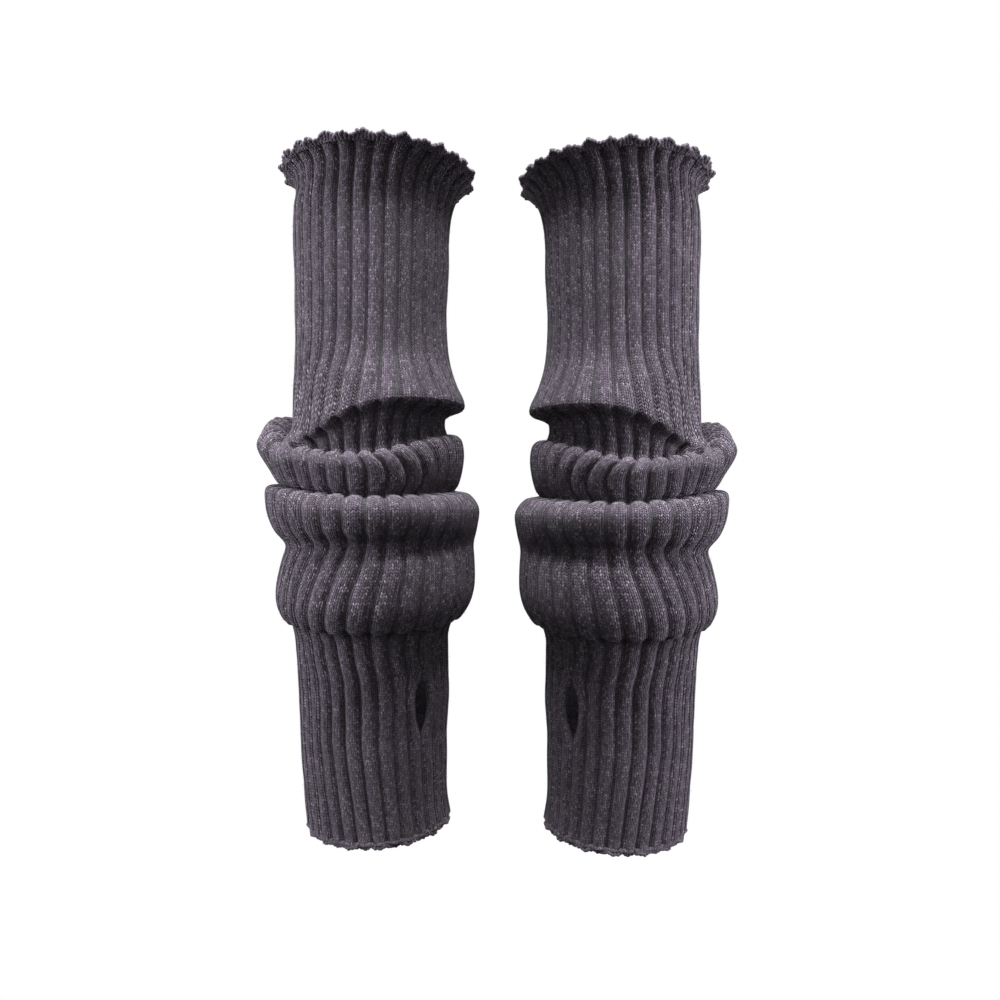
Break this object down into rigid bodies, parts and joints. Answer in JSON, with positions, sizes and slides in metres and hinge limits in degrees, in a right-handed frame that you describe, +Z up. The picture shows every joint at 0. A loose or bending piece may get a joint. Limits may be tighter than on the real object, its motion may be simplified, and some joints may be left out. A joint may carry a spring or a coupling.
{
  "type": "pair of wrist warmers",
  "caption": "Pair of long ribbed knit wrist warmers, standing as worn: slouched folds at the wrist, a flared beaded edge at the top, a small wavy hem and a thumb slit in each.",
  "frame": {"origin": "midway between the two limb axes, at the height where the wrists hold the pair, under the slouched folds", "axes": "+X from the left warmer to the right one, +Y to the back, +Z up along the limbs toward the flared tops"},
  "size_m": [0.2604, 0.1139, 0.3603],
  "materials": {
    "rib_knit": "soft heathered wool rib, matte with a faint fuzz",
    "beaded_edging": "soft wool loops, matte"
  },
  "bodies": {
    "root": {"left_tube": "rib_knit", "left_top_frill": "beaded_edging", "left_hem_frill": "beaded_edging", "right_tube": "rib_knit", "right_top_frill": "beaded_edging", "right_hem_frill": "beaded_edging"}
  },
  "joints": []
}
